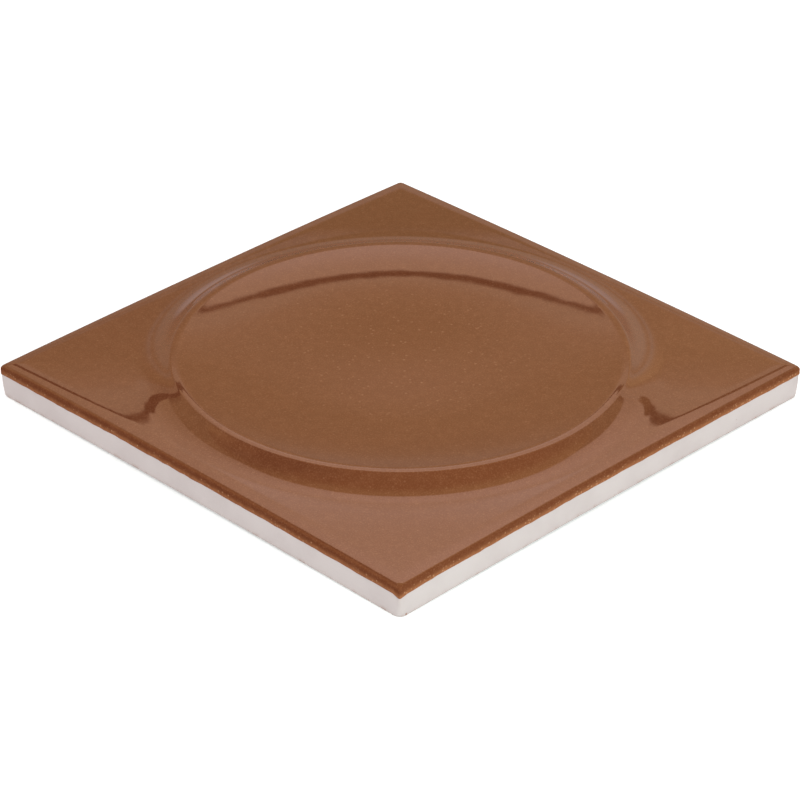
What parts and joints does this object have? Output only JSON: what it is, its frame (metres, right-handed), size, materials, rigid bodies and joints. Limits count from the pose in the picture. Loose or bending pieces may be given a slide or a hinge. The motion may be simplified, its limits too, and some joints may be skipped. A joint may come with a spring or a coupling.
{
  "type": "wall tile",
  "caption": "Square glazed ceramic wall tile with a raised round disc that is shallowly dished on top, and a flat back with keying grooves.",
  "frame": {"origin": "middle of the back, on the plane that the tile rests on", "axes": "+Z out of the glazed face; X and Y along the edges"},
  "size_m": [0.15, 0.15, 0.0137],
  "materials": {
    "glazed_tile": "glossy caramel brown glaze over the face and the top of the edges, bare off-white fired clay below it"
  },
  "bodies": {
    "root": {"tile": "glazed_tile"}
  },
  "joints": []
}
